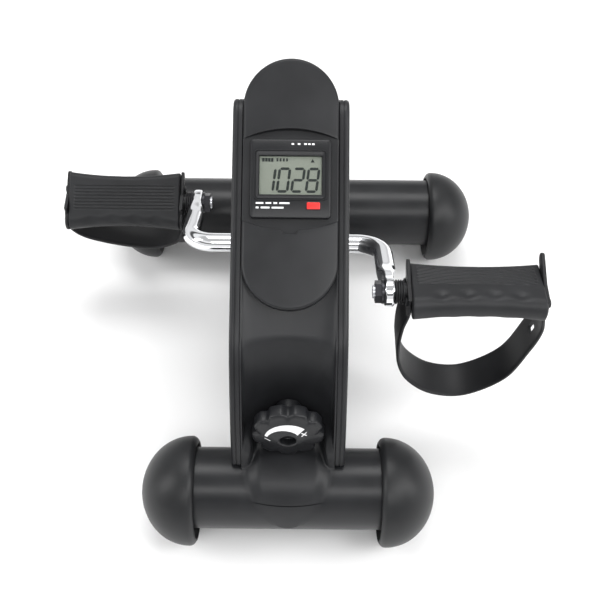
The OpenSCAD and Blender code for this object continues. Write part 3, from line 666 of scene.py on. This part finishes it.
# ---------------------------------------- crank bar
def crank_bar():
    """A round bar, bent twice, that is pressed flat and round ended at both eyes."""
    bar_r, bend = 7.5, 20                   # bend is the radius of its middle line
    eye_r, eye_t, eye_edge = 11, 8, 1.2
    sides = 40
    eye_x = node_box("crank_bar")[1].x - bar_r
    throw = (PEDAL["right"] - CRANK).yz.length
    arm = Vector((0, *(PEDAL["right"] - CRANK).yz)).normalized()
    flat_from, flat_to = throw - 34, throw - 12
    x_axis = Vector((1, 0, 0))
    side_dir = x_axis.cross(arm)

    def section(centre, thick_dir, wide, thick, square):
        """square goes from 0, a round section, to 1, nearly a rectangle."""
        e = 2 / (2 + square * 3)
        ring = []
        for k in range(sides):
            c, s = math.cos(2 * math.pi * k / sides), math.sin(2 * math.pi * k / sides)
            ring.append(centre + side_dir * wide * math.copysign(abs(c) ** e, c)
                        + thick_dir * thick * math.copysign(abs(s) ** e, s))
        return ring

    # the round part, from the middle to the end of its bend
    half = [(x_axis * (eye_x - bend) * i / 8, x_axis) for i in range(9)]
    for i in range(1, 13):
        a = math.pi / 2 * i / 12
        half.append((x_axis * (eye_x - bend + bend * math.sin(a)) + arm * (bend - bend * math.cos(a)),
                     x_axis * math.cos(a) + arm * math.sin(a)))
    # the arm and its flattened eye: (distance along the arm, half width, half thickness, squareness)
    reach = [bend + (flat_from - bend) * i / 4 for i in range(1, 5)]
    reach += [flat_from + (flat_to - flat_from) * i / 20 for i in range(1, 21)]
    reach += [throw - d for d in (10, 8, 6, 4, 2, 0)]
    reach += [throw + eye_r * math.sin(math.radians(a)) for a in range(10, 90, 8)]
    reach += [throw + eye_r * 0.9995]
    end = []
    for d in reach:
        k = smooth((d - flat_from) / (flat_to - flat_from))
        wide = bar_r + (eye_r - eye_edge - bar_r) * k
        if d > throw - 8:
            wide = eye_r - eye_edge * smooth((throw - d) / 8)
        if d > throw:
            wide = math.sqrt(max(eye_r ** 2 - (d - throw) ** 2, 0.01))
        end.append((d, wide, bar_r + (eye_t / 2 - bar_r) * k, k))

    def half_bar(sign):
        rows = []
        for centre, along in half:
            rows.append(section(CRANK + centre * sign, along.cross(side_dir) * sign, bar_r, bar_r, 0))
        for d, wide, thick, k in end:
            centre = x_axis * eye_x + arm * d
            past = max((d - throw) / eye_r - 0.8, 0)
            rows.append(section(CRANK + centre * sign, arm.cross(side_dir) * sign, wide,
                                thick * (1 - 0.45 * past / 0.2), k))
        verts, faces = grid(rows, wrap=True)
        faces.append(tuple(range(len(verts) - sides, len(verts))))
        return verts, faces

    mesh("crank_bar_chrome", *joined(half_bar(1), half_bar(-1)), "chrome", "crank", ["crank_bar"], sharp=42)


crank_bar()


# ---------------------------------------- pedals
BLOCK_LEN, BLOCK_W, BLOCK_T, WAIST = 96, 50, 19, 3.5
BLOCK_X0 = 93.2                                 # the block's inner end
PEG_Y = 11
TILT = {"right": math.radians(-9), "left": math.radians(32)}
LEAN = {"right": 0.0, "left": math.radians(5)}


def pedal_axis(side):
    return Matrix.Translation(PEDAL[side] - Vector((PEDAL[side].x, 0, 0)))


def pedal_place(side):
    """From the pedal's own axes (x outwards, y to the rear, z up) to the frame."""
    m = pedal_axis(side) @ Matrix.Rotation(TILT[side], 4, "X")
    return m if side == "right" else m @ Matrix.Rotation(math.pi, 4, "Y")


def pedal_block(side):
    """The waisted block with its rounded edges, grooves and finger dents, and the pegs at its ends."""
    stations = 190
    half_t = BLOCK_T / 2
    heel, nose = 5.0, 9.0                       # radius of the rear and of the front edges
    round_end = 1.4
    groove_step, rib_step = 3.6, 2.875

    def perimeter(half_w):
        """Section points as (y, z); the front edge, at -y, is rounder."""
        pts = []

        def line(y0, z0, y1, z1, n):
            pts.extend((y0 + (y1 - y0) * i / n, z0 + (z1 - z0) * i / n) for i in range(n))

        back, front = half_w - heel, -half_w + nose
        line(back, half_t, front, half_t, 96)
        pts.extend(arc2(front, half_t - nose, nose, 90, 180, 14)[:-1])
        line(-half_w, half_t - nose, -half_w, nose - half_t, 2)
        pts.extend(arc2(front, nose - half_t, nose, 180, 270, 14)[:-1])
        line(front, -half_t, back, -half_t, 96)
        pts.extend(arc2(back, heel - half_t, heel, 270, 360, 8)[:-1])
        line(half_w, heel - half_t, half_w, half_t - heel, 6)
        pts.extend(arc2(back, half_t - heel, heel, 0, 90, 8)[:-1])
        return pts

    def sunk(x, y, z, t, half_w, inside):
        """Depth of the grip pattern at a point of the surface."""
        depth = 0.0
        if z > half_t - 0.01 and y > -3:
            # upper face: a fan of curved grooves on its rear half
            wave = 0.5 + 0.5 * math.cos(2 * math.pi * (y + 11.0 * t * t) / groove_step)
            depth = 1.5 * wave ** 1.3 * inside * smooth((half_w - heel - y) / 2.0) * smooth((y + 3) / 3.0)
        elif z < -half_t + 0.01 and -10 < y < 13:
            # lower face: fine straight ribs
            wave = 0.5 + 0.5 * math.cos(2 * math.pi * y / rib_step)
            depth = 0.7 * wave ** 1.5 * inside
        # four finger dents along the front edge
        for k in range(4):
            near = math.exp(-((x - BLOCK_X0 - BLOCK_LEN * (0.215 + 0.198 * k)) / 5.2) ** 2)
            if z > 0:
                depth += 1.6 * near * math.exp(-((y + half_w - 9.0) / 4.0) ** 2)
            else:
                depth += 1.5 * near * smooth((-y - half_w + 10) / 8) * smooth((-z - 5) / 4)
        return depth

    rows = []
    place = pedal_place(side)
    for i in range(stations + 1):
        f = -1 + 2 * i / stations
        t = math.sin(math.pi / 2 * f) * 0.35 + f * 0.65
        x = BLOCK_X0 + BLOCK_LEN / 2 * (1 + t)
        half_w = BLOCK_W / 2 - WAIST * (1 - t * t)
        e = BLOCK_LEN / 2 * (1 - abs(t))
        shrink = round_end - math.sqrt(round_end ** 2 - (round_end - e) ** 2) if e < round_end else 0.0
        inside = smooth((e - 3.5) / 2.5)
        ring = []
        for y, z in perimeter(half_w):
            depth = sunk(x, y, z, t, half_w, inside) + shrink
            ny, nz = 0.0, math.copysign(1.0, z)
            if y < -half_w + nose:
                n = Vector((y + half_w - nose, z - math.copysign(min(abs(z), half_t - nose), z)))
                ny, nz = n.normalized() if n.length else (-1.0, 0.0)
            elif y > half_w - heel:
                n = Vector((y - half_w + heel, z - math.copysign(min(abs(z), half_t - heel), z)))
                ny, nz = n.normalized() if n.length else (1.0, 0.0)
            ring.append(place @ Vector((x, y - ny * depth, z - nz * depth)))
        rows.append(ring)
    verts, faces = grid(rows, wrap=True, caps=True)
    mesh(side + "_pedal_block_moulding", verts, faces, "pedal_rubber", side + "_pedal",
         [side + "_pedal_block"], sharp=60)
    # mushroom pegs that the strap hooks on: (distance out, radius)
    peg = [(0, 2.3), (4.3, 2.3), (4.3, 3.2), (4.7, 3.4), (5.2, 3.2), (5.5, 2.4), (5.6, 0.1)]
    for end_name, end, x in (("inner", -1, BLOCK_X0), ("outer", 1, BLOCK_X0 + BLOCK_LEN)):
        for letter, y in (("a", -PEG_Y), ("b", PEG_Y)):
            base = place @ Vector((x - end * 1.0, y, 0))
            axis = place.to_3x3() @ Vector((end, 0, 0))
            name = f"{side}_strap_peg_{end_name}_{letter}"
            mesh(name, *grid(lathe(base, axis, peg, 32), wrap=True), "pedal_rubber", side + "_pedal")


def pedal_bush(side):
    """The ribbed rubber bush between the crank's eye and the block."""
    body_r, foot_r, rib_r, bore_r = 6.6, 6.7, 9.0, 5.2
    rib_step, ribs, length = 1.75, 4, 21
    place = pedal_place(side)
    low, high = node_box(side + "_pedal_bush")
    inner_end = low.x if side == "right" else -high.x
    profile = [(0, bore_r), (0, body_r)]
    for i in range(ribs):
        rib = ((0.2, foot_r), (0.25, rib_r - 0.2), (0.45, rib_r), (1.05, rib_r), (1.25, rib_r - 0.2),
               (1.3, foot_r))
        profile += [(d + rib_step * i, radius) for d, radius in rib]
    profile += [(length, body_r), (length, bore_r)]
    rows = lathe(place @ Vector((inner_end, 0, 0)), place.to_3x3() @ Vector((1, 0, 0)), profile, 64)
    mesh(side + "_pedal_bush_ribs", *grid(rows, wrap=True), "strap_rubber", side + "_pedal",
         [side + "_pedal_bush"], sharp=50)


STRAP_T = 2.6
STRAP_W = 31
STRAP_IN = BLOCK_X0 - 0.3 - STRAP_T / 2
STRAP_OUT = BLOCK_X0 + BLOCK_LEN + 0.3 + STRAP_T / 2
# middle line of each hanging band, as (x, z) from the pedal's axis
STRAP_ROUTE = {
    "right": [(STRAP_IN, 8), (STRAP_IN, 0), (STRAP_IN, -11), (STRAP_IN - 3, -26), (STRAP_IN - 4.2, -48),
              (STRAP_IN - 2, -70), (STRAP_IN + 7, -91), (STRAP_IN + 27, -108), (STRAP_IN + 54, -109.5),
              (STRAP_OUT - 17, -87), (STRAP_OUT - 4, -52), (STRAP_OUT + 1.5, -28), (STRAP_OUT, -11),
              (STRAP_OUT, 0), (STRAP_OUT, 8)],
    "left": [(STRAP_IN, 8), (STRAP_IN, 0), (STRAP_IN, -11), (STRAP_IN + 1, -22), (STRAP_IN + 8, -38),
             (STRAP_IN + 28, -46), (STRAP_IN + 56, -43), (STRAP_OUT - 12, -32), (STRAP_OUT + 0.5, -18),
             (STRAP_OUT, -8), (STRAP_OUT, 0), (STRAP_OUT, 8)],
}
# tabs that the pegs hold: front end, rear end at the crank, rear end outside, and how far they turn up
STRAP_TABS = {"right": (-18, 25, 31, math.radians(25)), "left": (-25, 27, 27, TILT["left"])}


def strap_band(side, place, mirror):
    """The hanging band: flat, with rounded edges, and a slot near its outer end on the right."""
    path = catmull(STRAP_ROUTE[side], 8)
    n = len(path)
    half_w, slot_half = STRAP_W / 2, 3.5
    across = [half_w, half_w - 0.3, half_w - 1.1, half_w - 3.5, slot_half]
    across = [-y for y in across] + across[::-1]
    thick = [0.35, 0.75, 1, 1, 1, 1, 1, 1, 0.75, 0.35]
    slot = [side == "right" and -47 < p.y < -35 and p.x > 170 for p in path]
    slot_col = 4
    verts, faces = [], []
    for i, p in enumerate(path):
        d = (path[min(i + 1, n - 1)] - path[max(i - 1, 0)]).normalized()
        normal = Vector((-d.y, d.x))
        for sign in (1, -1):
            for y, t in zip(across, thick):
                q = p + normal * (sign * STRAP_T / 2 * t)
                verts.append(place @ Vector((mirror * q.x, -y, q.y)))
    m = len(across)
    for i in range(n - 1):
        a, b = i * 2 * m, (i + 1) * 2 * m
        hole = slot[i] and slot[i + 1]
        for c in range(m - 1):
            if hole and c == slot_col:
                continue
            faces.append((a + c, a + c + 1, b + c + 1, b + c))
            faces.append((a + m + c, b + m + c, b + m + c + 1, a + m + c + 1))
        faces.append((a, b, b + m, a + m))
        faces.append((a + m - 1, a + 2 * m - 1, b + 2 * m - 1, b + m - 1))
        if hole:
            c = slot_col
            faces.append((a + c, b + c, b + m + c, a + m + c))
            faces.append((a + c + 1, a + m + c + 1, b + m + c + 1, b + c + 1))
    for i in range(1, n - 1):
        if slot[i] and slot[i - 1] != slot[i + 1]:
            a = i * 2 * m + slot_col
            faces.append((a, a + 1, a + m + 1, a + m))
    for a in (0, (n - 1) * 2 * m):
        for c in range(m - 1):
            faces.append((a + c, a + c + 1, a + m + c + 1, a + m + c))
    return verts, faces


def strap_tab(place, mirror, x, start, end, rise):
    """The flat tab that the pegs hold, from start to end in y, with its rim eased."""
    outline = arc2(end - 5, 0, 5, -75, 75, 14) + arc2(start + 9, 0, 9, 100, 260, 18)
    rows = []
    for depth, out in ((0.9, -1), (0.25, -0.9), (0, -0.6), (0, 0.6), (0.25, 0.9), (0.9, 1)):
        row = []
        for p in inset([Vector(q) for q in outline], depth):
            y = p.x * math.cos(rise) - p.y * math.sin(rise)
            z = p.x * math.sin(rise) + p.y * math.cos(rise)
            row.append(place @ Vector((mirror * (x + out * (STRAP_T / 2 + 0.02)), y, z)))
        rows.append(row)
    return grid(rows, wrap=True, caps=True)


def foot_strap(side):
    axis = pedal_axis(side)
    hanging = axis @ Matrix.Rotation(LEAN[side], 4, "X")
    mirror = 1 if side == "right" else -1
    start, inner, outer, rise = STRAP_TABS[side]
    mesh(side + "_foot_strap_band", *strap_band(side, hanging, mirror), "strap_rubber", side + "_pedal",
         [side + "_foot_strap"], sharp=40)
    for name, x, end in (("inner", STRAP_IN, inner), ("outer", STRAP_OUT, outer)):
        mesh(f"{side}_foot_strap_{name}_tab", *strap_tab(axis, mirror, x, start, end, rise),
             "strap_rubber", side + "_pedal", sharp=40)


for side in ("left", "right"):
    pedal_block(side)
    pedal_bush(side)
    foot_strap(side)


# ---------------------------------------- display
def rounded_box(w, l, r, n=6):
    """Outline of a rectangle with rounded corners, as (x, y)."""
    out = []
    for cx, cy, a in ((w / 2 - r, l / 2 - r, 0), (-w / 2 + r, l / 2 - r, 90), (-w / 2 + r, -l / 2 + r, 180),
                      (w / 2 - r, -l / 2 + r, 270)):
        out += arc2(cx, cy, r, a, a + 90, n)
    return out


def stacked(sections, u=0, v=0):
    """Rounded rectangles on the slope: (width, length, corner, height) for each."""
    return [[on_slope(u + x, v + y, h) for x, y in rounded_box(w, l, r)] for w, l, r, h in sections]


def box_on_slope(u, v, wide, high, low, top):
    pts = [on_slope(x, y, h) for h in (low, top)
           for x, y in ((u, v), (u + wide, v), (u + wide, v + high), (u, v + high))]
    return pts, [(0, 1, 2, 3), (4, 5, 6, 7), (0, 1, 5, 4), (1, 2, 6, 5), (2, 3, 7, 6), (3, 0, 4, 7)]


GLASS_W, GLASS_L, GLASS_V = 44.5, 27.9, 2.5     # the window, and its middle above the module's
RIM_W, RIM_L = 53.2, 37.3                       # raised frame round the window
BUTTON_U, BUTTON_V = 16.5, -19.8
PRINT_LOW, PRINT_TOP = -0.05, 0.04              # ink on the bezel
SIGN_LOW, SIGN_TOP = -1.79, -1.62               # liquid crystal, behind the window


def display_bezel():
    """A shell that is open at the window, with a raised frame and a groove round it."""
    gw, gl, rw, rl, w, l = GLASS_W, GLASS_L, RIM_W, RIM_L, MODULE_W, MODULE_L
    window = [
        (gw + 0.3, gl + 0.3, 0.4, -4), (gw + 0.3, gl + 0.3, 0.4, -0.3), (gw + 0.8, gl + 0.8, 0.6, 0.15),
        (rw - 5.4, rl - 4.6, 1.4, 0.35), (rw - 4.4, rl - 3.6, 1.8, 0.55), (rw - 3.6, rl - 2.8, 2.2, 0.55),
        (rw - 3.2, rl - 2.4, 2.4, 0.2), (rw - 2.6, rl - 1.8, 2.6, 0.2), (rw - 2.2, rl - 1.4, 2.8, 0.55),
        (rw - 0.9, rl - 0.8, 3.2, 0.6), (rw - 0.3, rl - 0.3, 3.6, 0.35), (rw, rl, 3.8, 0),
    ]
    outside = [
        (w - 2.2, l - 2.2, 1.6, 0), (w - 0.9, l - 0.9, 2.2, -0.25), (w - 0.2, l - 0.2, 2.6, -0.9),
        (w, l, 2.8, -2), (w, l, 2.8, -11), (w - 4, l - 4, 1, -11), (w - 4, l - 4, 1, -4),
    ]
    rows = stacked(window, 0, MODULE_V + GLASS_V) + stacked(outside, 0, MODULE_V)
    mesh("display_bezel_body", *grid(rows, wrap=True, wrap_rows=True), "bezel_plastic", "display",
         ["display_bezel"], sharp=40)


def display_print():
    """Plain dashes in place of the labels: two rows under the window and one above it."""
    ink = []
    gap, dash = 1.6, 1.2
    for v, lengths in ((-18.6, (5.4, 4.0, 2.6, 7.2)), (-21.9, (2.0, 6.2, 8.4))):
        u = -24.5
        for length in lengths:
            ink.append((u, v, length, dash))
            u += length + gap
    ink += [(u, 24.7, 1.8, 1.1) for u in (0.5, 5.0, 9.6, 12.4, 15.2)]
    boxes = [box_on_slope(u, MODULE_V + v, length, high, PRINT_LOW, PRINT_TOP)
             for u, v, length, high in ink]
    mesh("display_print", *joined(*boxes), "white_print", "display")


def display_signs():
    """The small dark signs above the digits: two groups of bars and a triangle."""
    boxes = []
    for first, step, v, wide, high in ((-20.4, 2.1, 12.6, 1.7, 2.6), (-10.2, 2.3, 12.8, 1.3, 2.3)):
        boxes += [box_on_slope(first + step * k, MODULE_V + v, wide, high, SIGN_LOW, SIGN_TOP)
                  for k in range(4)]
    v = MODULE_V + 12.2
    corners = ((14.2, v), (17.2, v), (15.7, v + 2.6))
    boxes.append(([on_slope(x, y, h) for h in (SIGN_LOW, SIGN_TOP) for x, y in corners],
                  [(0, 1, 2), (3, 4, 5), (0, 1, 4, 3), (1, 2, 5, 4), (2, 0, 3, 5)]))
    mesh("display_signs", *joined(*boxes), "lcd_ink", "display")


def mode_button():
    cap = [(9.4, 4.9, 0.5, -1), (9.4, 4.9, 0.6, 0.5), (9.1, 4.6, 0.6, 0.85), (8.3, 3.8, 0.5, 1.0)]
    rows = stacked(cap, BUTTON_U, MODULE_V + BUTTON_V)
    mesh("mode_button_cap", *grid(rows, wrap=True, caps=True), "red_button", "mode_key", ["mode_button"])
    well = [(11.0, 6.5, 0.8, 0.02), (10.4, 5.9, 0.6, 0.12), (9.9, 5.4, 0.5, 0.02), (9.9, 5.4, 0.5, -0.8)]
    rows = stacked(well, BUTTON_U, MODULE_V + BUTTON_V)
    mesh("mode_button_well", *grid(rows, wrap=True), "bezel_plastic", "display")


display_bezel()
display_print()
display_signs()
mode_button()


# ---------------------------------------- stage, light and camera
FLOOR_SIZE = 60
# the sky's brightness at heights from the horizon, 0, to overhead, 1
# the dark band gives the chrome its lines
SKY = ((0.0, 0.8), (0.01, 0.85), (0.30, 0.9), (0.38, 0.1), (0.50, 0.1), (0.56, 1.0), (0.72, 1.0),
       (0.84, 0.55), (1.0, 0.6))
# name, place, target, size, watts
LIGHTS = (
    ("overhead", (0.0, 0.5, 1.6), (0, 0.05, 0.05), (1.0, 0.6), 12),
    ("camera_side", (0.0, -1.1, 1.35), (0, 0, 0.1), (0.9, 0.35), 6),
    ("key_right", (0.8, -0.7, 1.35), (0, 0, 0.15), (0.5, 0.5), 6),
    ("left", (-1.3, -0.3, 0.9), (0, -0.05, 0.1), (0.4, 1.0), 8),
    ("right", (1.3, -0.3, 0.9), (0, -0.05, 0.1), (0.4, 1.0), 8),
)
CAMERA_PITCH = math.radians(39.6)     # 50.4 degrees down from level
CAMERA_ROLL = math.radians(0.6)
CAMERA_PLACE = Vector((HOUSING_X + 7.7, -531.2, 735.7)) * MM
LENS, SENSOR = 60, 36


def stage():
    bpy.ops.mesh.primitive_plane_add(size=FLOOR_SIZE, location=(0, 0, 0))
    floor = bpy.context.object
    floor.name = "studio_floor"
    floor.data.materials.append(new_material("studio_floor", (0.93, 0.93, 0.93), 0.9, specular=0.0)[0])


def studio_sky():
    world = bpy.data.worlds.new("studio")
    bpy.context.scene.world = world
    world.use_nodes = True
    tree = world.node_tree
    height = add(tree, "ShaderNodeSeparateXYZ")
    tree.links.new(add(tree, "ShaderNodeTexCoord").outputs["Generated"], height.inputs["Vector"])
    tone = add(tree, "ShaderNodeValToRGB")
    stops = tone.color_ramp.elements
    for stop, (place, level) in zip(stops, (SKY[0], SKY[-1])):
        stop.position = place
        stop.color = (level, level, level, 1)
    for place, level in SKY[1:-1]:
        stops.new(place).color = (level, level, level, 1)
    tree.links.new(height.outputs["Z"], tone.inputs["Fac"])
    background = tree.nodes["Background"]
    tree.links.new(tone.outputs["Color"], background.inputs["Color"])
    background.inputs["Strength"].default_value = 1.0


def area_light(name, place, target, size, watts):
    data = bpy.data.lights.new(name, "AREA")
    data.shape = "RECTANGLE"
    data.size, data.size_y = size
    data.energy = watts
    obj = bpy.data.objects.new(name, data)
    obj.location = place
    obj.rotation_euler = (Vector(target) - Vector(place)).to_track_quat("-Z", "Y").to_euler()
    bpy.context.scene.collection.objects.link(obj)


def add_camera():
    data = bpy.data.cameras.new("camera")
    data.lens = LENS
    data.sensor_width = SENSOR
    camera = bpy.data.objects.new("camera", data)
    camera.matrix_world = (Matrix.Translation(CAMERA_PLACE) @ Matrix.Rotation(CAMERA_PITCH, 4, "X")
                           @ Matrix.Rotation(CAMERA_ROLL, 4, "Z"))
    bpy.context.scene.collection.objects.link(camera)
    bpy.context.scene.camera = camera


stage()
studio_sky()
for light in LIGHTS:
    area_light(*light)
add_camera()
bpy.context.scene.view_settings.view_transform = "Standard"
